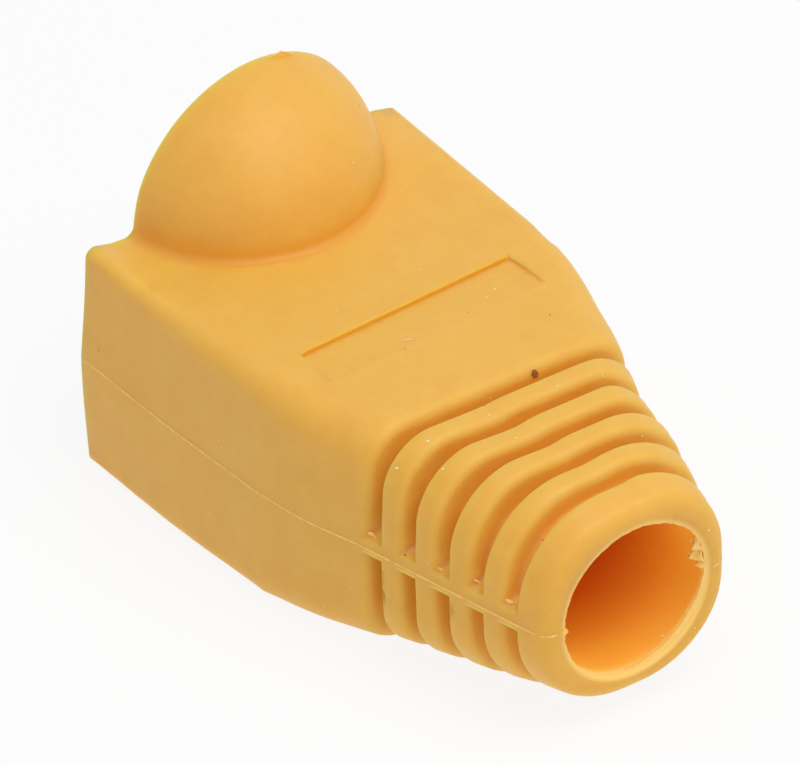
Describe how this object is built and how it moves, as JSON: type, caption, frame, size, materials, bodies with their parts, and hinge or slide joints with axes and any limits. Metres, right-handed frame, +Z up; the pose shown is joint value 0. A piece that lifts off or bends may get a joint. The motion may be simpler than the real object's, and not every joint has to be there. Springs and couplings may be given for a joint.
{
  "type": "cable connector strain relief boot",
  "caption": "Soft moulded boot with a plug socket, a hood over the latch, a ribbed tapering tail and a round cable bore.",
  "frame": {"origin": "centre of the plug socket's mouth, on the axis of plug and cable, in the parting plane", "axes": "+X from the mouth towards the cable end, +Z up through the hood, +Y completes the set"},
  "size_m": [0.0228, 0.014, 0.0137],
  "materials": {
    "soft_moulding": "semi-matte soft PVC, yellow-orange"
  },
  "bodies": {
    "root": {"boot": "soft_moulding"}
  },
  "joints": []
}
